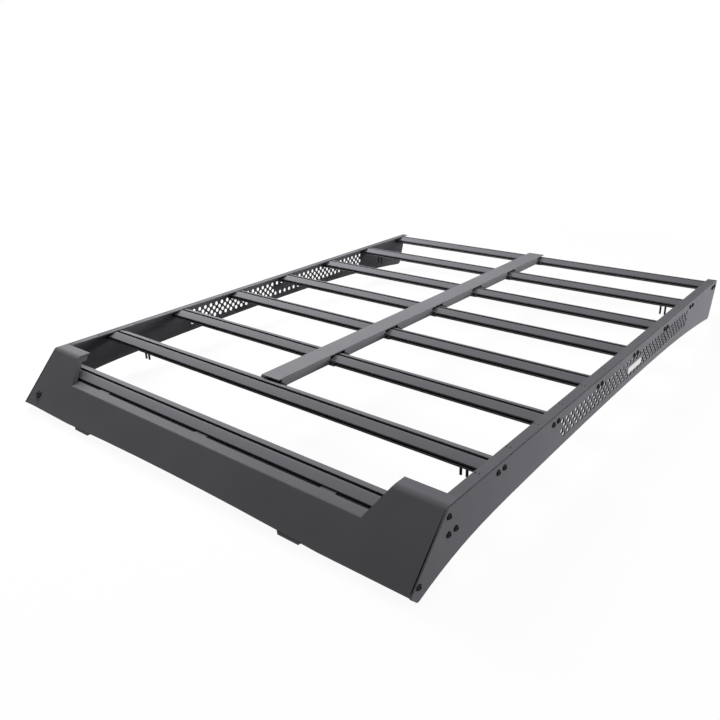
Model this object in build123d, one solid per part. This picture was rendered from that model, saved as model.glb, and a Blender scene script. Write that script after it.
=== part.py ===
"""Flat platform roof rack: slotted crossbars between two bent side rails, with a front fairing.

Millimetres.  +Z is up, the fairing faces -Y, and the origin is the middle of the footprint on the
floor.  Every piece is first placed from a datum in the middle of crossbar 1, and all of them are then
moved together by shift_y.
"""
from build123d import *
from math import radians, tan
import os

# Overall layout
width = 1250.0
deck_height = 134.0
bar_count = 7
bar_pitch = 230.0
rail_tail = 40.0

# Crossbar extrusion
bar_width = 56.0
bar_height = 21.0
bar_crown = 19.0
bar_shoulder_drop = 8.0
bar_foot_chamfer = 1.5
slot_neck = 8.6
slot_lip = 2.5
slot_cavity = 14.0
slot_cavity_depth = 4.5
side_slot_neck = 5.5
side_slot_cavity = 9.0
side_slot_cavity_depth = 3.5
port_radius = 3.4
port_sides = 6
bolt_spacing = 23.0
bolt_drop = 13.0

# Light bar crossbar, ahead of and below the deck
light_bar_lead = 166.0
light_bar_drop = 39.0

# Side rails
rail_sheet = 3.0
rail_flange = 25.0
rail_bend_radius = 4.0
rail_tip_rise = 18.0
rail_tip_run = 18.0
rail_foot_length = 6.0
arch_front_run = 130.0
arch_front_rise = 31.0
arch_knee_run = 330.0
arch_knee_rise = 45.5
arch_crown_rise = 53.0
arch_rear_run = 325.0
arch_rear_rise = 43.0
tail_foot_rise = 14.0
tail_lean = 18.5
tail_foot_radius = 16.0
tail_top_radius = 10.0
flange_setback = 12.0

# Perforated field of each side rail, centred on the middle crossbar
perforation_diameter = 12.0
perforation_sides = 6
perforation_pitch = 23.0
perforation_columns = 38
perforation_rows = 4
perforation_row_step = 11.5
perforation_top_drop = 24.5
badge_length = 90.0
badge_height = 13.0
badge_sheet = 1.0
badge_drop = 45.5
badge_patch_half = 52.0

# Front fairing
fairing_sheet = 3.0
fairing_lean = 43.0
fairing_lead = 176.0
ear_flange = 32.0
ear_bend_radius = 20.0
notch_bend_radius = 4.0
notch_depth = 55.0
notch_half_bottom = 475.0
notch_half_top = 510.0
notch_return = 16.0
ear_lip_return = 29.0
ear_lip_drop = 15.0
notch_flange = 24.5
flange_tab_width = 38.0
flange_tab_spacing = 371.0
side_return = 28.0
fairing_corner_rise = 19.0
fairing_low_rise = 17.5
fairing_low_half = 420.0
fairing_middle_rise = 22.0
fairing_bolt_top_inset = 17.0
fairing_bolt_top_drop = 19.0
fairing_bolt_bottom_inset = 11.0
fairing_bolt_bottom_rise = 30.0

# Roof pads behind and below the lower edge of the fairing
pad_width = 62.0
pad_height = 40.0
pad_sheet = 3.0
pad_below_edge = 6.0
pad_lip_height = 6.5
pad_corner = 4.0
pad_offset = 349.0

# Centre plank, a channel bolted between the crossbars
plank_width = 58.0
plank_sheet = 3.0
plank_standoff = 3.0
plank_wall_drop = 17.0
plank_tab = 14.0
plank_tab_top_drop = 4.0
plank_tab_bottom_drop = 21.0
plank_front_start = 18.0
plank_rear_reach = 19.0

# Button heads on the side rails
head_diameter = 14.0
head_height = 4.0
head_bevel_height = 2.6
head_bevel_run = 2.2
head_sides = 8

# T-bolts hanging from the bottom slots, in pairs
stud_diameter = 6.0
stud_spacing = 14.0
stud_reach = 33.5
stud_head_length = 12.0
stud_head_height = 4.0
stud_slot_clearance = 0.5
stud_inset = 76.0
front_left_stud_inset = 153.0

# Derived places
lean_tan = tan(radians(fairing_lean))
half_width = width / 2
inner_half = half_width - rail_sheet
deck_top = deck_height + rail_sheet
bar_places = [bar_pitch * index for index in range(bar_count)]
middle_bar = bar_pitch * (bar_count - 1) / 2
light_bar_top = deck_height - light_bar_drop
rail_rear = bar_places[-1] + rail_tail
tail_tan = tan(radians(tail_lean))
tail_tangent = tail_top_radius / tan(radians((90 - tail_lean) / 2))
tail_corner = rail_rear + tail_tangent - tail_top_radius
floor_front = -fairing_lead - deck_top * lean_tan
rail_front = floor_front + rail_tip_rise * lean_tan
slant = (1 + lean_tan**2) ** 0.5
fairing_run = fairing_sheet * slant
pad_run = pad_sheet * slant
pad_low = fairing_low_rise - pad_below_edge
fairing_front = -fairing_lead - (deck_top - fairing_low_rise) * lean_tan
pad_front = -fairing_lead - (deck_top - pad_low) * lean_tan
shift_y = -(min(rail_front, fairing_front, pad_front) + rail_rear) / 2
stud_places = {
    "front_left": (front_left_stud_inset - inner_half, bar_places[0]),
    "front_right": (inner_half - stud_inset, bar_places[0]),
    "rear_left": (stud_inset - inner_half, bar_places[-2]),
    "rear_right": (inner_half - stud_inset, bar_places[-2]),
}


def front_plane(height, behind=0.0):
    """Y of the fairing's front face at a height, or of a face parallel to it a run behind."""
    return -fairing_lead - (deck_top - height) * lean_tan + behind


def across(face, start, end):
    """Extrude a face drawn in the YZ plane along X, from start to end."""
    return extrude(Plane.YZ.offset(start) * face, amount=end - start)


def along(face, start, end):
    """Extrude a face drawn in the XZ plane along +Y, from start to end."""
    upright = Plane(origin=(0, start, 0), x_dir=(1, 0, 0), z_dir=(0, -1, 0))
    return extrude(upright * face, amount=-(end - start))


def polygon(*points):
    """Flat face inside straight sides."""
    return make_face(Polyline(*points, close=True))


def level_plate(left, right, front, rear, bottom, sheet):
    """Level rectangular plate, given by its four edges seen from above."""
    outline = Rectangle(right - left, rear - front)
    return extrude(Pos((left + right) / 2, (front + rear) / 2, bottom) * outline, amount=sheet)


def t_slot(neck, lip, cavity, depth):
    """Slot cut down from the X axis: a narrow neck, then a wider cavity."""
    mouth = Pos(0, -lip / 2) * Rectangle(neck, lip)
    return mouth + Pos(0, -lip - depth / 2) * Rectangle(cavity, depth)


def bar_section():
    """Section of the extrusion, crown on the X axis, shoulders sloping off, a slot on each side."""
    half = bar_width / 2
    outline = polygon(
        (-bar_crown / 2, 0),
        (bar_crown / 2, 0),
        (half, -bar_shoulder_drop),
        (half, -bar_height + bar_foot_chamfer),
        (half - bar_foot_chamfer, -bar_height),
        (-half + bar_foot_chamfer, -bar_height),
        (-half, -bar_height + bar_foot_chamfer),
        (-half, -bar_shoulder_drop),
    )
    top_slot = t_slot(slot_neck, slot_lip, slot_cavity, slot_cavity_depth)
    side_slot = t_slot(side_slot_neck, slot_lip, side_slot_cavity, side_slot_cavity_depth)
    side_drop = (bar_shoulder_drop + bar_height - bar_foot_chamfer) / 2
    section = outline - top_slot - Pos(0, -bar_height) * Rot(0, 0, 180) * top_slot
    section -= Pos(half, -side_drop) * Rot(0, 0, -90) * side_slot
    section -= Pos(-half, -side_drop) * Rot(0, 0, 90) * side_slot
    for side in (-1, 1):
        port = RegularPolygon(port_radius, port_sides)
        section -= Pos(side * bolt_spacing / 2, -bolt_drop) * port
    return section


def crossbar(place, top):
    """One crossbar between the side rails."""
    return across(Pos(place, top) * bar_section(), -inner_half, inner_half)


def perforations():
    """Staggered field of holes, left solid where a badge can sit."""
    holes = []
    for row in range(perforation_rows):
        columns = perforation_columns - row % 2
        height = deck_height - perforation_top_drop - row * perforation_row_step
        beside_badge = 0 < row < perforation_rows - 1
        for column in range(columns):
            run = (column - (columns - 1) / 2) * perforation_pitch
            if beside_badge and abs(run) < badge_patch_half:
                continue
            hole = RegularPolygon(perforation_diameter / 2, perforation_sides, rotation=22.5)
            holes.append(Pos(middle_bar + run, height) * hole)
    return holes


def rail_web():
    """Side view of a rail: raked front edge, clipped tip, arched lower edge, leaning tail, holes."""
    tip_top = (rail_front, rail_tip_rise)
    foot_start = (rail_front + rail_tip_run, 0)
    foot_end = (foot_start[0] + rail_foot_length, 0)
    tail_foot = (tail_corner - (deck_top - tail_foot_rise) * tail_tan, tail_foot_rise)
    tail_top = (tail_corner, deck_top)
    lower_edge = Spline(
        foot_end,
        (foot_end[0] + arch_front_run, arch_front_rise),
        (foot_end[0] + arch_knee_run, arch_knee_rise),
        ((foot_end[0] + tail_foot[0]) / 2 + bar_pitch / 2, arch_crown_rise),
        (tail_foot[0] - arch_rear_run, arch_rear_rise),
        tail_foot,
    )
    outline = make_face(
        [
            Polyline((-fairing_lead, deck_top), tip_top, foot_start, foot_end),
            lower_edge,
            Polyline(tail_foot, tail_top, (-fairing_lead, deck_top)),
        ]
    )
    for corner, radius in ((tail_foot, tail_foot_radius), (tail_top, tail_top_radius)):
        outline = fillet(outline.vertices().sort_by_distance((*corner, 0))[:1], radius)
    return outline - perforations()


def rail_section():
    """Section of the bent rail: web outside, flange turned in over the crossbar ends."""
    flange_edge = half_width - rail_flange
    outline = polygon(
        (half_width, 0),
        (half_width, deck_top),
        (flange_edge, deck_top),
        (flange_edge, deck_height),
        (inner_half, deck_height),
        (inner_half, 0),
    )
    bend = outline.vertices().sort_by_distance((half_width, deck_top, 0))[:1]
    return fillet(bend, rail_bend_radius)


def side_rail():
    """Right side rail: a sheet bent along its top edge, trimmed to the web's side view."""
    flange_edge = half_width - rail_flange
    flange_front = -fairing_lead + ear_flange + fairing_sheet
    flange_rear = rail_rear - flange_setback
    rail = along(rail_section(), rail_front, rail_rear)
    rail &= across(rail_web(), flange_edge, half_width)
    for front, rear in ((rail_front, flange_front), (flange_rear, rail_rear)):
        rail -= level_plate(flange_edge, inner_half, front, rear, deck_height, rail_sheet)
    return rail


def bent_sheet(points, radius):
    """Profile of a sheet bent at the middle point of three, drawn along the sheet's middle."""
    return trace(FilletPolyline(*points, radius=radius), fairing_sheet)


def fairing():
    """Raked plate with a wide notch for a light bar, its edges returned to the rear."""
    inside = fairing_run / 2
    middle = fairing_sheet / 2
    notch_floor = deck_top - notch_depth
    light_face = -light_bar_lead - bar_width / 2

    def folded(fold_height, flange, radius):
        fold = fold_height - middle
        return bent_sheet(
            [
                (front_plane(0, inside), 0),
                (front_plane(fold, inside), fold),
                (front_plane(fold_height) + flange, fold),
            ],
            radius,
        )

    notch_widest = max(notch_half_bottom, notch_half_top)
    notch_narrowest = min(notch_half_bottom, notch_half_top)
    plate_section = folded(notch_floor, notch_flange, notch_bend_radius)
    plate = across(plate_section, -notch_widest, notch_widest)
    ear = across(folded(deck_top, ear_flange, ear_bend_radius), notch_narrowest, inner_half)
    notch_side = polygon(
        (notch_half_bottom, notch_floor),
        (notch_half_top, deck_top),
        (notch_half_bottom - notch_depth, deck_top),
        (notch_half_bottom - notch_depth, notch_floor),
    )
    ear -= along(notch_side, floor_front, 0)

    # Returned edge down each side of the notch, deeper at the top where it is the ear's lip
    edge_low = notch_floor - fairing_sheet
    edge_high = deck_top - fairing_sheet
    edge_strip = polygon(
        (notch_half_bottom, edge_low),
        (notch_half_bottom + fairing_sheet, edge_low),
        (notch_half_top + fairing_sheet, edge_high),
        (notch_half_top, edge_high),
    )
    for low, depth in ((edge_low, notch_return), (deck_top - ear_lip_drop, ear_lip_return)):
        return_band = polygon(
            (front_plane(low, inside), low),
            (front_plane(low, depth), low),
            (front_plane(edge_high, depth), edge_high),
            (front_plane(edge_high, inside), edge_high),
        )
        ear += along(edge_strip, floor_front, 0) & across(return_band, 0, half_width)

    # Returned edge against the rail, which takes the two side bolts
    low = fairing_corner_rise + fairing_sheet
    high = deck_top - ear_bend_radius / 2
    side_band = polygon(
        (front_plane(low, inside), low),
        (front_plane(low, side_return), low),
        (front_plane(high, side_return), high),
        (front_plane(high, inside), high),
    )
    ear += across(side_band, inner_half - fairing_sheet, inner_half)

    whole = plate + ear + mirror(ear, Plane.YZ)
    tab_start = front_plane(notch_floor) + notch_flange - fairing_sheet
    for place in (-flange_tab_spacing, 0, flange_tab_spacing):
        left = place - flange_tab_width / 2
        right = place + flange_tab_width / 2
        whole += level_plate(
            left, right, tab_start, light_face, notch_floor - fairing_sheet, fairing_sheet
        )

    # Lower edge: low beside the pads, arched a little between them, lifted at the corners
    lower_trim = make_face(
        [
            Line((-inner_half, -fairing_sheet), (-inner_half, fairing_corner_rise)),
            Line((-inner_half, fairing_corner_rise), (-fairing_low_half, fairing_low_rise)),
            ThreePointArc(
                (-fairing_low_half, fairing_low_rise),
                (0, fairing_middle_rise),
                (fairing_low_half, fairing_low_rise),
            ),
            Line((fairing_low_half, fairing_low_rise), (inner_half, fairing_corner_rise)),
            Polyline(
                (inner_half, fairing_corner_rise),
                (inner_half, -fairing_sheet),
                (-inner_half, -fairing_sheet),
            ),
        ]
    )
    return whole - along(lower_trim, floor_front - fairing_sheet, 0)


def fairing_pad(place):
    """Flat pad on the rear face of the fairing, with a lip below the fairing's lower edge."""
    pad_high = pad_low + pad_height
    lip_high = pad_low + pad_lip_height
    half = pad_width / 2
    outline = polygon(
        (place - half, pad_high),
        (place - half, pad_low + pad_corner),
        (place - half + pad_corner, pad_low),
        (place + half - pad_corner, pad_low),
        (place + half, pad_low + pad_corner),
        (place + half, pad_high),
    )
    band = polygon(
        (front_plane(pad_low), pad_low),
        (front_plane(pad_low, fairing_run + pad_run), pad_low),
        (front_plane(pad_high, fairing_run + pad_run), pad_high),
        (front_plane(pad_high, fairing_run), pad_high),
        (front_plane(lip_high, fairing_run), lip_high),
        (front_plane(lip_high), lip_high),
    )
    return along(outline, floor_front, 0) & across(band, place - half, place + half)


def centre_plank():
    """Channel along the deck, its walls cut away at the crossbars and closed by tabbed end plates."""
    under = deck_height + plank_standoff
    start = bar_places[0] + plank_front_start
    end = bar_places[-1] + plank_rear_reach
    outer = plank_width / 2
    plank = level_plate(-outer, outer, start, end, under, plank_sheet)
    wall_bottom = deck_height - plank_wall_drop
    tab_top = deck_height - plank_tab_top_drop
    tab_bottom = deck_height - plank_tab_bottom_drop
    tab_edge = outer + plank_tab
    for place in bar_places[:-1]:
        front = place + bar_width / 2
        rear = place + bar_pitch - bar_width / 2
        wall = polygon((front, wall_bottom), (rear, wall_bottom), (rear, under), (front, under))
        end_plate = polygon(
            (-outer, under),
            (outer, under),
            (outer, tab_top),
            (tab_edge, tab_top),
            (tab_edge, tab_bottom),
            (-tab_edge, tab_bottom),
            (-tab_edge, tab_top),
            (-outer, tab_top),
        )
        side = across(wall, outer - plank_sheet, outer)
        plank += [side, mirror(side, Plane.YZ)]
        plank += along(end_plate, front, front + plank_sheet)
        plank += along(end_plate, rear - plank_sheet, rear)
    return plank


def button_head(place, height):
    """Low bevelled bolt head seated on the outer face of the right rail."""
    disc = Pos(place, height) * RegularPolygon(head_diameter / 2, head_sides)
    head = extrude(Plane.YZ.offset(half_width) * disc, amount=head_height)
    crown = head.faces().sort_by(Axis.X)[-1]
    return chamfer(crown.edges(), head_bevel_run, head_bevel_height, reference=crown)


def bar_bolts():
    """Two heads for each crossbar end on the right rail."""
    ends = [(place, deck_height - bolt_drop) for place in bar_places]
    ends.append((-light_bar_lead, light_bar_top - bolt_drop))
    return [
        button_head(place + side * bolt_spacing / 2, height) for place, height in ends for side in (-1, 1)
    ]


def fairing_bolts():
    """Two heads that hold the fairing's side return to the right rail."""
    top = deck_top - fairing_bolt_top_drop
    bottom = fairing_bolt_bottom_rise
    return [
        button_head(front_plane(top, fairing_bolt_top_inset), top),
        button_head(front_plane(bottom, fairing_bolt_bottom_inset), bottom),
    ]


def stud_pair(place, bar_place):
    """Two T-bolts side by side in a bottom slot, heads inside and threads hanging down."""
    seat = deck_height - bar_height + slot_lip
    pair = []
    for side in (-1, 1):
        spot = Pos(place + side * stud_spacing / 2, bar_place, seat)
        head = Rectangle(stud_head_length, slot_cavity - 2 * stud_slot_clearance)
        shank = Circle(stud_diameter / 2)
        stud = extrude(head, amount=stud_head_height) + extrude(shank, amount=-stud_reach - slot_lip)
        pair.append(spot * stud)
    return pair


def badge_plate():
    """Blank plate on the solid patch of the right rail."""
    plate = Pos(middle_bar, deck_height - badge_drop) * Rectangle(badge_length, badge_height)
    return extrude(Plane.YZ.offset(half_width) * plate, amount=badge_sheet)


def write_node(name, solids):
    """Write one named piece, or a group of like pieces that don't touch."""
    group = Compound(children=[Pos(0, shift_y, 0) * solid for solid in solids])
    export_step(group if len(solids) > 1 else Pos(0, shift_y, 0) * solids[0], f"parts/{name}.step")


os.makedirs("parts", exist_ok=True)
write_node("front_fairing", [fairing()])
write_node("light_bar_crossbar", [crossbar(-light_bar_lead, light_bar_top)])
for index, bar_place in enumerate(bar_places):
    write_node(f"crossbar_{index + 1}", [crossbar(bar_place, deck_height)])
write_node("centre_plank", [centre_plank()])

right_side = {
    "side_rail": [side_rail()],
    "crossbar_bolts": bar_bolts(),
    "fairing_bolts": fairing_bolts(),
    "fairing_pad": [fairing_pad(pad_offset)],
}
for name, solids in right_side.items():
    write_node(f"right_{name}", solids)
    write_node(f"left_{name}", [mirror(solid, Plane.YZ) for solid in solids])

write_node("right_badge_plate", [badge_plate()])
for name, (place, bar_place) in stud_places.items():
    write_node(f"{name}_studs", stud_pair(place, bar_place))
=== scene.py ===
import bpy
from math import cos, pi, radians, tan
from mathutils import Matrix, Vector


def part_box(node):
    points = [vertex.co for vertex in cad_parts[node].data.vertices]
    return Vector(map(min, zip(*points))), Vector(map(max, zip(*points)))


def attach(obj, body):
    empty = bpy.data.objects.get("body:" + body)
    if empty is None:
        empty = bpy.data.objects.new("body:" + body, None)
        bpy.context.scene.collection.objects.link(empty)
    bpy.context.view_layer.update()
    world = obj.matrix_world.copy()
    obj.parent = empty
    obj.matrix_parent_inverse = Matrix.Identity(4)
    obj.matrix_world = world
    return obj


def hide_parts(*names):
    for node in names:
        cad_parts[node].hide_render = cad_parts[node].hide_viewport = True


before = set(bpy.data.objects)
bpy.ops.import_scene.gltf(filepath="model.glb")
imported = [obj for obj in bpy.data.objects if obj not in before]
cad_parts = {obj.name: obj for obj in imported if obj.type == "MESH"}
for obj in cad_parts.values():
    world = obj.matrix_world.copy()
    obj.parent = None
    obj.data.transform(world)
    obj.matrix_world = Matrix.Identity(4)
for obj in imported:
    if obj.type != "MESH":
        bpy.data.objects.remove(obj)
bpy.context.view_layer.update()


# Crossbars
# Seven deck bars and one low bar for lights, each a length of T-slot aluminium extrusion, cut square,
# powder coated black and bolted end-on between the side rails.
# The die leaves every corner slightly round, and the coat thins a little there; the corners are drawn
# paler, partly for the thin coat and partly as a painted highlight.

mm = 0.001
bar_count = 7
bar_corner_radius = 0.5 * mm
bar_coat_colour = "#5C5B5F"
# How much paler the bars' corners are drawn: thin coat and painted edge highlight together.
bar_edge_wear_and_highlight = 0.35
bar_grain_stretch = (0.25, 1.0, 1.0)
merge_distance = 0.01 * mm
flat_angle = radians(0.5)
sharp_angle = radians(35)
# Most values of a noise texture lie between these two.
noise_low, noise_high = 0.3, 0.7
# Sockets of a node that mixes colours: its factor, its two colours and its result.
mix_factor, colour_a, colour_b, mixed = 0, 6, 7, 2


def linear(hex_colour):
    """Linear RGBA of an sRGB hex colour."""
    channels = []
    for place in (1, 3, 5):
        level = int(hex_colour[place:place + 2], 16) / 255
        channels.append(level / 12.92 if level <= 0.04045 else ((level + 0.055) / 1.055) ** 2.4)
    return [*channels, 1.0]


def add_node(owner, kind, settings=None, links=None):
    """Add one node to a material or world, set its properties and inputs, and link what feeds it."""
    node = owner.node_tree.nodes.new(kind)
    for key, value in (settings or {}).items():
        if isinstance(key, str) and hasattr(node, key):
            setattr(node, key, value)
        else:
            node.inputs[key].default_value = value
    for key, source in (links or {}).items():
        owner.node_tree.links.new(source, node.inputs[key])
    return node


def new_material(name):
    """An empty node material with its output."""
    material = bpy.data.materials.new(name)
    material.use_nodes = True
    material.node_tree.nodes.clear()
    return material, add_node(material, "ShaderNodeOutputMaterial")


def powder_coat(name, colour, edge_wear_and_highlight, grain_stretch):
    """Fine-texture black polyester powder coat, sprayed and baked.

    It gives the eye a dull dark grey with hardly any sheen, a faint orange peel, slow changes of tone over
    a hand's width, and paler edges, partly where the coat drew thin and partly a painted highlight where
    the edges catch the light.  The peel is about 1 mm on the real coat and is drawn at 2.4 mm so that it
    still shows in the render.
    """
    peel_size = 2.4 * mm
    peel_depth = 0.12 * mm
    peel_strength = 0.25
    smoothest, roughest = 0.58, 0.7
    sheen = 0.03
    cloud_size = 120 * mm
    cloud_dark, cloud_pale = 0.9, 1.12
    edge_start, edge_full = 0.53, 0.62
    # Colour factor of the paler edges: thin coat and painted edge highlight together.
    worn_and_highlight_pale = 2.2
    material, output = new_material(name)
    place = add_node(material, "ShaderNodeTexCoord")
    stretched = add_node(
        material, "ShaderNodeMapping", {"Scale": grain_stretch}, {"Vector": place.outputs["Object"]}
    )
    cloud = add_node(
        material,
        "ShaderNodeTexNoise",
        {"Scale": 1 / cloud_size, "Detail": 2.0},
        {"Vector": place.outputs["Object"]},
    )
    peel = add_node(
        material,
        "ShaderNodeTexNoise",
        {"Scale": 1 / peel_size, "Detail": 2.0},
        {"Vector": stretched.outputs["Vector"]},
    )
    shape = add_node(material, "ShaderNodeNewGeometry")
    # Paler edges by pointiness: partly the coat drawn thin, partly a painted highlight along the edges.
    thin_coat_and_highlight_edge = add_node(
        material,
        "ShaderNodeMapRange",
        {"From Min": edge_start, "From Max": edge_full, "To Min": 0.0, "To Max": edge_wear_and_highlight},
        {"Value": shape.outputs["Pointiness"]},
    )
    base = Vector(linear(colour)[:3])
    tone = add_node(
        material,
        "ShaderNodeMix",
        {"data_type": "RGBA", colour_a: [*(base * cloud_dark), 1.0], colour_b: [*(base * cloud_pale), 1.0]},
        {mix_factor: cloud.outputs["Fac"]},
    )
    coat = add_node(
        material,
        "ShaderNodeMix",
        {"data_type": "RGBA", colour_b: [*(base * worn_and_highlight_pale), 1.0]},
        {mix_factor: thin_coat_and_highlight_edge.outputs["Result"], colour_a: tone.outputs[mixed]},
    )
    gloss = add_node(
        material,
        "ShaderNodeMapRange",
        {"From Min": noise_low, "From Max": noise_high, "To Min": smoothest, "To Max": roughest},
        {"Value": peel.outputs["Fac"]},
    )
    bump = add_node(
        material,
        "ShaderNodeBump",
        {"Strength": peel_strength, "Distance": peel_depth},
        {"Height": peel.outputs["Fac"]},
    )
    surface = add_node(
        material,
        "ShaderNodeBsdfPrincipled",
        {"IOR": 1.5, "Specular IOR Level": sheen},
        {
            "Base Color": coat.outputs[mixed],
            "Roughness": gloss.outputs["Result"],
            "Normal": bump.outputs["Normal"],
        },
    )
    material.node_tree.links.new(surface.outputs["BSDF"], output.inputs["Surface"])
    return material


def work_on(piece):
    """Select one piece alone and make it the active one."""
    bpy.ops.object.select_all(action="DESELECT")
    piece.select_set(True)
    bpy.context.view_layer.objects.active = piece


def mesh_of(node, name):
    """A new piece on its own copy of a CAD node's mesh, with its triangles merged into clean faces."""
    piece = bpy.data.objects.new(name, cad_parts[node].data.copy())
    bpy.context.collection.objects.link(piece)
    piece.data.materials.clear()
    work_on(piece)
    bpy.ops.mesh.customdata_custom_splitnormals_clear()
    bpy.ops.object.mode_set(mode="EDIT")
    bpy.ops.mesh.select_all(action="SELECT")
    bpy.ops.mesh.remove_doubles(threshold=merge_distance)
    bpy.ops.mesh.dissolve_limited(angle_limit=flat_angle)
    bpy.ops.object.mode_set(mode="OBJECT")
    return piece


def apply_modifier(piece, kind, **settings):
    """Add one modifier to a piece and apply it."""
    work_on(piece)
    modifier = piece.modifiers.new(kind.lower(), kind)
    for key, value in settings.items():
        setattr(modifier, key, value)
    bpy.ops.object.modifier_apply(modifier=modifier.name)


def round_edges(piece, radius):
    """Round every sharp edge, merge the points that then meet, and keep flat faces flat in the shading."""
    apply_modifier(
        piece,
        "BEVEL",
        width=radius,
        segments=2,
        limit_method="ANGLE",
        angle_limit=sharp_angle,
        face_strength_mode="FSTR_ALL",
    )
    work_on(piece)
    bpy.ops.object.mode_set(mode="EDIT")
    bpy.ops.mesh.select_all(action="SELECT")
    bpy.ops.mesh.remove_doubles(threshold=merge_distance)
    bpy.ops.object.mode_set(mode="OBJECT")
    bpy.ops.object.shade_smooth_by_angle(angle=sharp_angle)
    apply_modifier(piece, "WEIGHTED_NORMAL", keep_sharp=True, use_face_influence=True)


def finish_piece(piece, material, slot, *nodes):
    """Give a piece its material, its place on the rack and the nodes that it stands for."""
    piece.data.materials.clear()
    piece.data.materials.append(material)
    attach(piece, "root")
    if nodes:
        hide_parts(*nodes)


bar_coat = powder_coat(
    "black_powder_coat_on_extrusion", bar_coat_colour, bar_edge_wear_and_highlight, bar_grain_stretch
)
bar_nodes = [f"crossbar_{number}" for number in range(1, bar_count + 1)] + ["light_bar_crossbar"]
for node in bar_nodes:
    bar = mesh_of(node, f"{node}_extrusion")
    round_edges(bar, bar_corner_radius)
    finish_piece(bar, bar_coat, "bar_coat", node)


# Side rails
# Each rail is one sheet of aluminium, laser cut with an arched lower edge and a staggered field of round
# holes, bent in along a scored line at its top to cover the crossbars' ends, and powder coated.

hole_radius = 6.3 * mm
hole_sides = 24
hole_pitch = 23 * mm
hole_columns = 38
hole_rows = 4
hole_row_step = 11.5 * mm
hole_top_drop = 24.5 * mm
solid_patch_half = 52 * mm
drill_length = 30 * mm
pin_hole_radius = 1.8 * mm
pin_hole_sides = 12
pin_hole_insets = (13 * mm, 21 * mm)
pin_hole_offset = 58 * mm
rail_edge_radius = 0.5 * mm
rail_sheet = 3 * mm
flange_growth = 2.9 * mm
score_radius = 0.75 * mm
score_sides = 4
score_inset = 1.5 * mm
close = 0.05 * mm
panel_coat_colour = "#5C5B5F"
# How much paler the sheets' edges are drawn: thin coat and painted edge highlight together.
panel_edge_wear_and_highlight = 0.08
even_grain = (1, 1, 1)

panel_coat = powder_coat("black_powder_coat_on_sheet", panel_coat_colour, panel_edge_wear_and_highlight, even_grain)
rail_low, rail_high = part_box("right_side_rail")


def middle_of(node):
    """Middle of a CAD node's box."""
    low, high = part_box(node)
    return (low + high) / 2


def move_points(piece, wanted, step):
    """Move the points of a piece that pass a test by a step."""
    work_on(piece)
    bpy.ops.object.mode_set(mode="EDIT")
    bpy.ops.mesh.select_mode(type="VERT")
    bpy.ops.mesh.select_all(action="DESELECT")
    bpy.ops.object.mode_set(mode="OBJECT")
    for point in piece.data.vertices:
        point.select = wanted(point.co)
    bpy.ops.object.mode_set(mode="EDIT")
    bpy.ops.transform.translate(value=step)
    bpy.ops.object.mode_set(mode="OBJECT")


middle_y = middle_of("crossbar_4").y
deck_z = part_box("crossbar_4")[1].z
rail_points = [point.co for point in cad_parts["right_side_rail"].data.vertices]
flange_front = min(point.y for point in rail_points if point.x < rail_high.x - rail_sheet - close)


def on_flange_front(point):
    """Whether a point of the rail lies on the front end of its flange."""
    return abs(point.y - flange_front) < close and point.z > deck_z - close


rail = mesh_of("right_side_rail", "right_side_rail_sheet")
move_points(rail, on_flange_front, (0, -flange_growth, 0))
bpy.ops.object.select_all(action="DESELECT")
drills = []
for row in range(hole_rows):
    columns = hole_columns - row % 2
    beside_badge = 0 < row < hole_rows - 1
    for column in range(columns):
        run = (column - (columns - 1) / 2) * hole_pitch
        if beside_badge and abs(run) < solid_patch_half:
            continue
        bpy.ops.mesh.primitive_cylinder_add(
            vertices=hole_sides,
            radius=hole_radius,
            depth=drill_length,
            rotation=(0, pi / 2, 0),
            location=(rail_high.x, middle_y + run, deck_z - hole_top_drop - row * hole_row_step),
        )
        drills.append(bpy.context.object)
for number in range(1, bar_count + 1):
    for offset in (-pin_hole_offset, pin_hole_offset):
        pin_y = middle_of(f"crossbar_{number}").y + offset
        if pin_y > rail_high.y:
            continue
        for inset in pin_hole_insets:
            bpy.ops.mesh.primitive_cylinder_add(
                vertices=pin_hole_sides,
                radius=pin_hole_radius,
                depth=drill_length,
                location=(rail_high.x - inset, pin_y, rail_high.z),
            )
            drills.append(bpy.context.object)
bpy.ops.mesh.primitive_cylinder_add(
    vertices=score_sides,
    radius=score_radius,
    depth=2 * (rail_high.y - rail_low.y),
    rotation=(pi / 2, 0, 0),
    location=(rail_high.x - score_inset, middle_y, rail_high.z - score_inset),
)
drills.append(bpy.context.object)
for drill in drills:
    drill.select_set(True)
bpy.ops.object.join()
drill_set = bpy.context.object
apply_modifier(rail, "BOOLEAN", object=drill_set, operation="DIFFERENCE", solver="EXACT")
bpy.data.objects.remove(drill_set)
round_edges(rail, rail_edge_radius)


def mirrored(piece, name):
    """A copy of a right-hand piece for the left side, with its own mesh and its faces turned out again."""
    work_on(piece)
    bpy.ops.object.duplicate()
    copy = bpy.context.object
    copy.name = name
    bpy.ops.object.mode_set(mode="EDIT")
    bpy.ops.mesh.select_all(action="SELECT")
    bpy.ops.transform.resize(value=(-1, 1, 1), center_override=(0, 0, 0))
    bpy.ops.mesh.flip_normals()
    bpy.ops.object.mode_set(mode="OBJECT")
    return copy


left_rail = mirrored(rail, "left_side_rail_sheet")
finish_piece(rail, panel_coat, "panel_coat", "right_side_rail")
finish_piece(left_rail, panel_coat, "panel_coat", "left_side_rail")


# Front fairing
# One sheet of aluminium, laser cut, with its top edges, its sides and the sides of its notch folded back
# in a press, powder coated like the rails and bolted between their raked front edges.
# Each side is rebated where it meets the rail, which leaves a dark groove along the seam.

fairing_lean = radians(43)
fairing_edge_radius = 0.9 * mm
side_groove = 2.6 * mm
side_groove_run = 9 * mm
groove_end = 6 * mm
notch_depth = 55 * mm
notch_flange = 24.5 * mm
notch_sheet = 3 * mm
notch_flange_growth = 2.2 * mm

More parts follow.
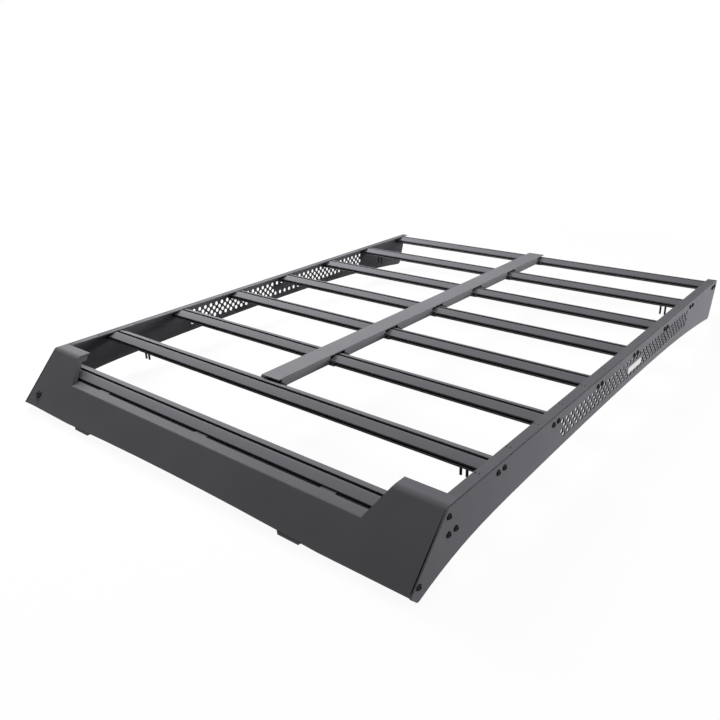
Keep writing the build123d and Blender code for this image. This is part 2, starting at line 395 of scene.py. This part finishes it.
fairing = mesh_of("front_fairing", "front_fairing_sheet")
fairing_low, fairing_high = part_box("front_fairing")
front_face = min(point.co.y - point.co.z * tan(fairing_lean) for point in fairing.data.vertices)
notch_floor = fairing_high.z - notch_depth
flange_edge = front_face + notch_floor * tan(fairing_lean) + notch_flange


def on_flange_edge(point):
    """Whether a point of the fairing lies on the rear edge of the notch's lower flange."""
    level = notch_floor - 2 * notch_sheet < point.z < notch_floor + close
    return level and abs(point.y - flange_edge) < close


def select_edges(piece, wanted):
    """Select the edges whose two ends both pass a test, and leave the piece in edit mode."""
    work_on(piece)
    bpy.ops.object.mode_set(mode="EDIT")
    bpy.ops.mesh.select_mode(type="EDGE")
    bpy.ops.mesh.select_all(action="DESELECT")
    bpy.ops.object.mode_set(mode="OBJECT")
    points = piece.data.vertices
    for edge in piece.data.edges:
        edge.select = all(wanted(points[end].co) for end in edge.vertices)
    bpy.ops.object.mode_set(mode="EDIT")


def on_side_edge(point, side):
    """Whether a point of the fairing lies on the front face, at one side and above the groove's end."""
    on_face = point.y - point.z * tan(fairing_lean) - front_face < close
    above_end = point.z > fairing_low.z + groove_end - close
    return on_face and above_end and side * point.x > fairing_high.x - close


move_points(fairing, on_flange_edge, (0, notch_flange_growth, 0))
bpy.ops.object.mode_set(mode="EDIT")
bpy.ops.mesh.select_all(action="SELECT")
bpy.ops.mesh.bisect(plane_co=(0, 0, fairing_low.z + groove_end), plane_no=(0, 0, 1))
bpy.ops.object.mode_set(mode="OBJECT")
# A bevel whose profile is 0 cuts a square step.
for side in (-1, 1):
    select_edges(fairing, lambda point: on_side_edge(point, side))
    bpy.ops.mesh.bevel(offset=side_groove, segments=2, profile=0.0, affect="EDGES")
    bpy.ops.object.mode_set(mode="OBJECT")


def in_side_groove(point):
    """Whether a point of the fairing lies on the floor of a side groove."""
    behind = (point.y - point.z * tan(fairing_lean) - front_face) * cos(fairing_lean)
    return abs(behind - side_groove) < close and abs(point.x) > fairing_high.x - side_groove - close


move_points(fairing, in_side_groove, (0, side_groove_run, 0))
round_edges(fairing, fairing_edge_radius)
finish_piece(fairing, panel_coat, "panel_coat", "front_fairing")


# Centre plank
# A shallow channel of folded aluminium sheet along the middle of the deck.  Its walls stop at each
# crossbar, where an end plate with two out-turned tabs is bolted to the bar's face.  Its coat is a
# little paler than the rails'.

plank_edge_radius = 0.7 * mm
plank_coat_colour = "#6B6A6E"

plank_coat = powder_coat("black_powder_coat_on_plank", plank_coat_colour, panel_edge_wear_and_highlight, even_grain)
plank = mesh_of("centre_plank", "centre_plank_channel")
round_edges(plank, plank_edge_radius)
finish_piece(plank, plank_coat, "panel_coat", "centre_plank")


# Bolts of the rails, the fairing and the plank
# Button-head screws of black-oxide steel with a hexagon socket, turned through the rails into the bars'
# screw ports and the fairing's folds, through the tabs of the plank, and one through the fairing's face.

bolt_colour = "#242425"
bolt_edge_colour = "#6B6B6D"
rail_bolt = {"radius": 6.2 * mm, "height": 4 * mm, "key": 5 * mm}
plank_bolt = {"radius": 5.2 * mm, "height": 3.2 * mm, "key": 4 * mm}
corner_screw = {"radius": 10 * mm, "height": 4.4 * mm, "key": 6 * mm}
head_sides = 28
dome_share = 0.75
dome_steps = 4
crease_angle = radians(30)
cad_head = 7 * mm
bolt_spacing = 23 * mm
bolt_drop = 13 * mm
plank_sheet = 3 * mm
plank_bolt_reach = 36 * mm
plank_bolt_drop = 13 * mm
corner_bolt_place = (-584 * mm, 42 * mm)


def black_oxide():
    """Black-oxide steel: a thin conversion layer over turned and rolled metal.

    It gives the eye a near-black with a soft metallic glint, faintly mottled, and bare steel just showing
    through on the edges that a key or a socket has rubbed.
    """
    mottle_size = 3 * mm
    smoothest, roughest = 0.38, 0.6
    edge_start, edge_full, most_rubbed = 0.56, 0.7, 0.5
    material, output = new_material("black_oxide_steel")
    place = add_node(material, "ShaderNodeTexCoord")
    mottle = add_node(
        material,
        "ShaderNodeTexNoise",
        {"Scale": 1 / mottle_size, "Detail": 3.0},
        {"Vector": place.outputs["Object"]},
    )
    shape = add_node(material, "ShaderNodeNewGeometry")
    rubbed = add_node(
        material,
        "ShaderNodeMapRange",
        {"From Min": edge_start, "From Max": edge_full, "To Min": 0.0, "To Max": most_rubbed},
        {"Value": shape.outputs["Pointiness"]},
    )
    tone = add_node(
        material,
        "ShaderNodeMix",
        {"data_type": "RGBA", colour_a: linear(bolt_colour), colour_b: linear(bolt_edge_colour)},
        {mix_factor: rubbed.outputs["Result"]},
    )
    gloss = add_node(
        material,
        "ShaderNodeMapRange",
        {"From Min": noise_low, "From Max": noise_high, "To Min": smoothest, "To Max": roughest},
        {"Value": mottle.outputs["Fac"]},
    )
    surface = add_node(
        material,
        "ShaderNodeBsdfPrincipled",
        {"Metallic": 1.0},
        {"Base Color": tone.outputs[mixed], "Roughness": gloss.outputs["Result"]},
    )
    material.node_tree.links.new(surface.outputs["BSDF"], output.inputs["Surface"])
    return material


def button_head(radius, height, key):
    """A domed screw head with a hexagon socket, seated on the XY plane and facing up."""
    bpy.ops.object.select_all(action="DESELECT")
    bpy.ops.mesh.primitive_cylinder_add(vertices=head_sides, radius=radius, depth=height)
    head = bpy.context.object
    head.location.z = height / 2
    bpy.ops.object.transform_apply()
    select_edges(head, lambda point: point.z > height - close)
    bpy.ops.mesh.bevel(offset=dome_share * height, segments=dome_steps, affect="EDGES")
    bpy.ops.object.mode_set(mode="OBJECT")
    across_corners = key / tan(radians(60)) * 2
    bpy.ops.mesh.primitive_cylinder_add(
        vertices=6, radius=across_corners / 2, depth=height, location=(0, 0, height)
    )
    socket = bpy.context.object
    apply_modifier(head, "BOOLEAN", object=socket, operation="DIFFERENCE", solver="EXACT")
    bpy.data.objects.remove(socket)
    work_on(head)
    bpy.ops.object.shade_smooth_by_angle(angle=crease_angle)
    return head


def join_copies(model, name, places):
    """One piece made of copies of a modelled part, each moved to its place in the mesh."""
    copies = []
    for place in places:
        copy = model.copy()
        copy.data = model.data.copy()
        bpy.context.collection.objects.link(copy)
        copy.matrix_world = place
        copies.append(copy)
    bpy.context.view_layer.update()
    work_on(copies[0])
    for copy in copies:
        copy.select_set(True)
    bpy.ops.object.join()
    piece = bpy.context.object
    piece.name = name
    bpy.ops.object.transform_apply()
    return piece


oxide = black_oxide()
faces_right = Matrix.Rotation(pi / 2, 4, "Y")
head = button_head(**rail_bolt)
bar_bolt_places = []
for node in bar_nodes:
    bar_middle = middle_of(node)
    bolt_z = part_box(node)[1].z - bolt_drop
    for side in (-1, 1):
        spot = (rail_high.x, bar_middle.y + side * bolt_spacing / 2, bolt_z)
        bar_bolt_places.append(Matrix.Translation(spot) @ faces_right)
bolts = join_copies(head, "right_crossbar_bolt_heads", bar_bolt_places)
left_bolts = mirrored(bolts, "left_crossbar_bolt_heads")
finish_piece(bolts, oxide, "bolt_black", "right_crossbar_bolts")
finish_piece(left_bolts, oxide, "bolt_black", "left_crossbar_bolts")

pair_low, pair_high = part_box("right_fairing_bolts")
fairing_bolt_places = [
    Matrix.Translation((rail_high.x, pair_low.y + cad_head, pair_low.z + cad_head)) @ faces_right,
    Matrix.Translation((rail_high.x, pair_high.y - cad_head, pair_high.z - cad_head)) @ faces_right,
]
bolts = join_copies(head, "right_fairing_bolt_heads", fairing_bolt_places)
left_bolts = mirrored(bolts, "left_fairing_bolt_heads")
finish_piece(bolts, oxide, "bolt_black", "right_fairing_bolts")
finish_piece(left_bolts, oxide, "bolt_black", "left_fairing_bolts")
bpy.data.objects.remove(head)

corner_x, corner_z = corner_bolt_place
corner_spot = (corner_x, front_face + corner_z * tan(fairing_lean), corner_z)
faces_front = Matrix.Rotation(pi / 2 - fairing_lean, 4, "X")
corner_bolt_places = [Matrix.Translation(corner_spot) @ faces_front]
head = button_head(**corner_screw)
corner_bolt = join_copies(head, "fairing_corner_bolt_head", corner_bolt_places)
finish_piece(corner_bolt, oxide, "bolt_black")
bpy.data.objects.remove(head)

head = button_head(**plank_bolt)
tab_bolt_places = []
for number in range(1, bar_count):
    bay_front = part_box(f"crossbar_{number}")[1].y + plank_sheet
    bay_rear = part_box(f"crossbar_{number + 1}")[0].y - plank_sheet
    for spot_y, turn in ((bay_front, -pi / 2), (bay_rear, pi / 2)):
        for side in (-1, 1):
            spot = (side * plank_bolt_reach, spot_y, deck_z - plank_bolt_drop)
            tab_bolt_places.append(Matrix.Translation(spot) @ Matrix.Rotation(turn, 4, "X"))
tab_bolts = join_copies(head, "plank_tab_bolt_heads", tab_bolt_places)
finish_piece(tab_bolts, oxide, "bolt_black")
bpy.data.objects.remove(head)


# Studs under the bars
# T-bolts of black-oxide steel, M6: the head slides in the bottom slot of a bar and the threaded end hangs
# down in pairs, ready for the feet that hold the rack to a roof.

stud_radius = 3 * mm
stud_spacing = 14 * mm
thread_pitch = 1 * mm
thread_depth = 0.55 * mm
stud_head = Vector((12 * mm, 13 * mm, 4 * mm))
stud_head_radius = 0.4 * mm
stud_sides = 14
stud_low, stud_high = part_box("front_right_studs")
shank_length = stud_high.z - stud_low.z - stud_head.z

bpy.ops.object.select_all(action="DESELECT")
bpy.ops.mesh.primitive_plane_add(size=stud_radius)
stud = bpy.context.object
bpy.ops.object.mode_set(mode="EDIT")
bpy.ops.mesh.select_mode(type="VERT")
bpy.ops.mesh.merge(type="CENTER")
root_radius = stud_radius - thread_depth
turns = int(shank_length / thread_pitch) - 1
profile = [(root_radius, 0.0), (thread_depth, thread_pitch / 2)]
profile += [(-thread_depth, thread_pitch / 2), (thread_depth, thread_pitch / 2)] * turns
profile += [(0.0, shank_length - (turns + 0.5) * thread_pitch), (-stud_radius, 0.0)]
for out, up in profile:
    bpy.ops.mesh.extrude_vertices_move(TRANSFORM_OT_translate={"value": (out, 0, up)})
bpy.ops.mesh.select_all(action="SELECT")
bpy.ops.mesh.spin(steps=stud_sides, angle=2 * pi, center=(0, 0, 0), axis=(0, 0, 1))
bpy.ops.mesh.select_all(action="SELECT")
bpy.ops.mesh.remove_doubles(threshold=merge_distance)
bpy.ops.mesh.normals_make_consistent(inside=False)
bpy.ops.object.mode_set(mode="OBJECT")
bpy.ops.object.select_all(action="DESELECT")
bpy.ops.mesh.primitive_cube_add(size=1, location=(0, 0, shank_length + stud_head.z / 2), scale=stud_head)
stud_top = bpy.context.object
bpy.ops.object.transform_apply()
round_edges(stud_top, stud_head_radius)
work_on(stud)
stud_top.select_set(True)
bpy.ops.object.join()
bpy.ops.object.shade_smooth_by_angle(angle=crease_angle)
for corner in ("front_left", "front_right", "rear_left", "rear_right"):
    pair_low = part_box(f"{corner}_studs")[0]
    pair_middle = middle_of(f"{corner}_studs")
    stud_places = [
        Matrix.Translation((pair_middle.x + side * stud_spacing / 2, pair_middle.y, pair_low.z))
        for side in (-1, 1)
    ]
    studs = join_copies(stud, f"{corner}_threaded_studs", stud_places)
    finish_piece(studs, oxide, "stud_black", f"{corner}_studs")
bpy.data.objects.remove(stud)


# Badge plate
# A thin stamped aluminium plate stuck to the solid patch of the right rail, with a raised rim round a
# plain field.

badge_colour = "#F2F2F0"
badge_corner_radius = 2.2 * mm
badge_corner_steps = 4
badge_rim = 1.2 * mm
badge_field_depth = 0.35 * mm
badge_growth_up = 2.5 * mm
badge_growth_down = 0.5 * mm


def brushed_aluminium():
    """Brushed aluminium under clear lacquer.

    It gives the eye a bright, almost white metal with fine lines along its length.  The lines are about
    0.1 mm apart on the real plate and are drawn 0.6 mm apart so that they show in the render.
    """
    line_spacing = 0.6 * mm
    line_length = 40 * mm
    line_dark = 0.8
    smoothest, roughest = 0.3, 0.5
    material, output = new_material("brushed_aluminium")
    place = add_node(material, "ShaderNodeTexCoord")
    along_plate = add_node(
        material,
        "ShaderNodeMapping",
        {"Scale": (1 / line_spacing, 1 / line_length, 1 / line_spacing)},
        {"Vector": place.outputs["Object"]},
    )
    lines = add_node(
        material,
        "ShaderNodeTexNoise",
        {"Scale": 1.0, "Detail": 2.0},
        {"Vector": along_plate.outputs["Vector"]},
    )
    gloss = add_node(
        material,
        "ShaderNodeMapRange",
        {"From Min": noise_low, "From Max": noise_high, "To Min": smoothest, "To Max": roughest},
        {"Value": lines.outputs["Fac"]},
    )
    bright = Vector(linear(badge_colour)[:3])
    tone = add_node(
        material,
        "ShaderNodeMix",
        {"data_type": "RGBA", colour_a: [*(bright * line_dark), 1.0], colour_b: [*bright, 1.0]},
        {mix_factor: lines.outputs["Fac"]},
    )
    surface = add_node(
        material,
        "ShaderNodeBsdfPrincipled",
        {"Metallic": 1.0},
        {"Base Color": tone.outputs[mixed], "Roughness": gloss.outputs["Result"]},
    )
    material.node_tree.links.new(surface.outputs["BSDF"], output.inputs["Surface"])
    return material


badge_low, badge_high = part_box("right_badge_plate")
badge_low.z -= badge_growth_down
badge_high.z += badge_growth_up
bpy.ops.object.select_all(action="DESELECT")
badge_middle = (badge_low + badge_high) / 2
bpy.ops.mesh.primitive_cube_add(size=1, location=badge_middle, scale=badge_high - badge_low)
badge = bpy.context.object
badge.name = "right_badge_plate_blank"
bpy.ops.object.transform_apply()


def on_badge_face(point):
    """Whether a point of the badge lies on its outer face."""
    return point.x > badge_high.x - close


bpy.ops.object.mode_set(mode="EDIT")
bpy.ops.mesh.select_mode(type="EDGE")
bpy.ops.mesh.select_all(action="DESELECT")
bpy.ops.object.mode_set(mode="OBJECT")
for edge in badge.data.edges:
    ends = [badge.data.vertices[end].co for end in edge.vertices]
    edge.select = abs(ends[0].x - ends[1].x) > close
bpy.ops.object.mode_set(mode="EDIT")
bpy.ops.mesh.bevel(offset=badge_corner_radius, segments=badge_corner_steps, affect="EDGES")
bpy.ops.object.mode_set(mode="OBJECT")
select_edges(badge, on_badge_face)
bpy.ops.mesh.select_mode(use_extend=False, use_expand=False, type="FACE")
bpy.ops.mesh.inset(thickness=badge_rim)
bpy.ops.mesh.inset(thickness=badge_field_depth, depth=-badge_field_depth)
bpy.ops.object.mode_set(mode="OBJECT")
bpy.ops.object.shade_smooth_by_angle(angle=crease_angle)
finish_piece(badge, brushed_aluminium(), "bare_plate", "right_badge_plate")


# Roof pads
# Two flat pads of black rubber on the back of the fairing, a little below its lower edge, so that the edge
# rests softly on the roof.

pad_edge_radius = 0.9 * mm
pad_colour = "#4D4B4E"
pad_lip_trim = 3.2 * mm


def rubber():
    """Moulded EPDM rubber.

    It gives the eye a matte charcoal with a dusty bloom in soft patches and a fine grain.  The grain is
    about 0.5 mm on the real pad and is drawn at 1.5 mm so that it shows in the render.
    """
    grain_size = 1.5 * mm
    grain_depth = 0.1 * mm
    grain_strength = 0.4
    bloom_size = 30 * mm
    bloom_dark, bloom_pale = 0.8, 1.4
    material, output = new_material("moulded_epdm_rubber")
    place = add_node(material, "ShaderNodeTexCoord")
    grain = add_node(
        material, "ShaderNodeTexNoise", {"Scale": 1 / grain_size}, {"Vector": place.outputs["Object"]}
    )
    bloom = add_node(
        material, "ShaderNodeTexNoise", {"Scale": 1 / bloom_size}, {"Vector": place.outputs["Object"]}
    )
    base = Vector(linear(pad_colour)[:3])
    tone = add_node(
        material,
        "ShaderNodeMix",
        {"data_type": "RGBA", colour_a: [*(base * bloom_dark), 1.0], colour_b: [*(base * bloom_pale), 1.0]},
        {mix_factor: bloom.outputs["Fac"]},
    )
    bump = add_node(
        material,
        "ShaderNodeBump",
        {"Strength": grain_strength, "Distance": grain_depth},
        {"Height": grain.outputs["Fac"]},
    )
    surface = add_node(
        material,
        "ShaderNodeBsdfPrincipled",
        {"Roughness": 0.8, "Specular IOR Level": 0.2},
        {"Base Color": tone.outputs[mixed], "Normal": bump.outputs["Normal"]},
    )
    material.node_tree.links.new(surface.outputs["BSDF"], output.inputs["Surface"])
    return material


def on_pad_lip(point):
    """Whether a point of a pad lies on the lip below the fairing's lower edge."""
    return point.z < fairing_low.z - close


epdm = rubber()
for side in ("left", "right"):
    pad = mesh_of(f"{side}_fairing_pad", f"{side}_roof_pad")
    move_points(pad, on_pad_lip, (0, pad_lip_trim * tan(fairing_lean), pad_lip_trim))
    round_edges(pad, pad_edge_radius)
    finish_piece(pad, epdm, "pad_rubber", f"{side}_fairing_pad")


# Floor, light and camera
# A white paper sweep in a dark studio, with soft boxes above and on each side of the rack, seen from the
# photograph's viewpoint.  The camera sees the paper and the backdrop as plain white.

floor_size = 40
white_colour = "#FFFFFF"
paper_colour = "#EDEDED"
dim_colour = "#8A8A8A"
white_share = 0.94
shadow_reach = 1.1
backdrop_strength = 0.05


def seen_as_white(owner):
    """A socket that is 1 for rays to which the floor and the backdrop look white."""
    rays = add_node(owner, "ShaderNodeLightPath")
    direct = add_node(
        owner,
        "ShaderNodeMath",
        {"operation": "MAXIMUM"},
        {0: rays.outputs["Is Camera Ray"], 1: rays.outputs["Is Glossy Ray"]},
    )
    through = add_node(
        owner,
        "ShaderNodeMath",
        {"operation": "MAXIMUM"},
        {0: direct.outputs["Value"], 1: rays.outputs["Is Transmission Ray"]},
    )
    return through.outputs["Value"]


bpy.ops.object.select_all(action="DESELECT")
bpy.ops.mesh.primitive_plane_add(size=floor_size)
floor = bpy.context.object
floor.name = "floor"
sweep, sweep_output = new_material("white_paper_sweep")
paper = add_node(sweep, "ShaderNodeBsdfDiffuse", {"Color": linear(paper_colour)})
glow = add_node(sweep, "ShaderNodeEmission", {"Color": linear(white_colour), "Strength": 1.0})
paper_place = add_node(sweep, "ShaderNodeTexCoord")
reach = add_node(
    sweep, "ShaderNodeVectorMath", {"operation": "LENGTH"}, {0: paper_place.outputs["Object"]}
)
whiteness = add_node(
    sweep,
    "ShaderNodeMapRange",
    {"From Min": shadow_reach, "From Max": 2 * shadow_reach, "To Min": white_share, "To Max": 1.0},
    {"Value": reach.outputs["Value"]},
)
white_paper = add_node(
    sweep,
    "ShaderNodeMixShader",
    None,
    {0: whiteness.outputs["Result"], 1: paper.outputs["BSDF"], 2: glow.outputs["Emission"]},
)
dim_paper = add_node(sweep, "ShaderNodeBsdfDiffuse", {"Color": linear(dim_colour)})
seen_paper = add_node(
    sweep,
    "ShaderNodeMixShader",
    None,
    {0: seen_as_white(sweep), 1: dim_paper.outputs["BSDF"], 2: white_paper.outputs["Shader"]},
)
sweep.node_tree.links.new(seen_paper.outputs["Shader"], sweep_output.inputs["Surface"])
floor.data.materials.append(sweep)

backdrop = bpy.data.worlds.new("studio_backdrop")
backdrop.use_nodes = True
backdrop.node_tree.nodes.clear()
dim = add_node(
    backdrop, "ShaderNodeBackground", {"Color": linear(white_colour), "Strength": backdrop_strength}
)
white = add_node(backdrop, "ShaderNodeBackground", {"Color": linear(white_colour), "Strength": 1.0})
seen_backdrop = add_node(
    backdrop,
    "ShaderNodeMixShader",
    None,
    {0: seen_as_white(backdrop), 1: dim.outputs["Background"], 2: white.outputs["Background"]},
)
add_node(backdrop, "ShaderNodeOutputWorld", None, {"Surface": seen_backdrop.outputs["Shader"]})
bpy.context.scene.world = backdrop


def soft_box(name, place, target, size, power, sheen=True):
    """A rectangular soft box that points at a target; without sheen it doesn't mirror in the coat."""
    bpy.ops.object.light_add(type="AREA", location=place)
    lamp = bpy.context.object
    lamp.name = name
    lamp.data.shape = "RECTANGLE"
    lamp.data.size, lamp.data.size_y = size
    lamp.data.energy = power
    lamp.visible_camera = False
    lamp.visible_glossy = sheen
    lamp.rotation_euler = (Vector(target) - Vector(place)).to_track_quat("-Z", "Y").to_euler()


soft_box("left_key_box", place=(-1.7, 0.35, 1.5), target=(0, -0.1, 0.1), size=(1.2, 1.2), power=98)
soft_box("overhead_fill_box", place=(0.2, -1.0, 3.0), target=(0, -0.5, 0.1), size=(1.5, 1.5), power=40)
soft_box(
    "right_rear_box", place=(2.5, 0.9, 0.3), target=(0.6, 0.1, 0.1), size=(1.6, 0.4), power=72, sheen=False
)

# The camera was fitted to the crossbars and rails of the photograph.
photo_pixels = 720
focal_pixels = 716.09
camera_sensor = 36
camera_turn = radians(39.8824)
camera_tilt = radians(22.6906)
camera_roll = radians(-1.8342)
camera_from_first_bar = Vector((1158.56, -1034.21, 0)) * mm
camera_height = 824.38 * mm
first_bar = middle_of("crossbar_1")
camera_place = Vector((0, first_bar.y, camera_height)) + camera_from_first_bar
bpy.ops.object.camera_add()
camera = bpy.context.object
camera.data.sensor_width = camera_sensor
camera.data.lens = camera_sensor * focal_pixels / photo_pixels
camera.matrix_world = (
    Matrix.Translation(camera_place)
    @ Matrix.Rotation(camera_turn, 4, "Z")
    @ Matrix.Rotation(pi / 2 - camera_tilt, 4, "X")
    @ Matrix.Rotation(camera_roll, 4, "Z")
)
bpy.context.scene.camera = camera
bpy.context.scene.view_settings.view_transform = "Standard"
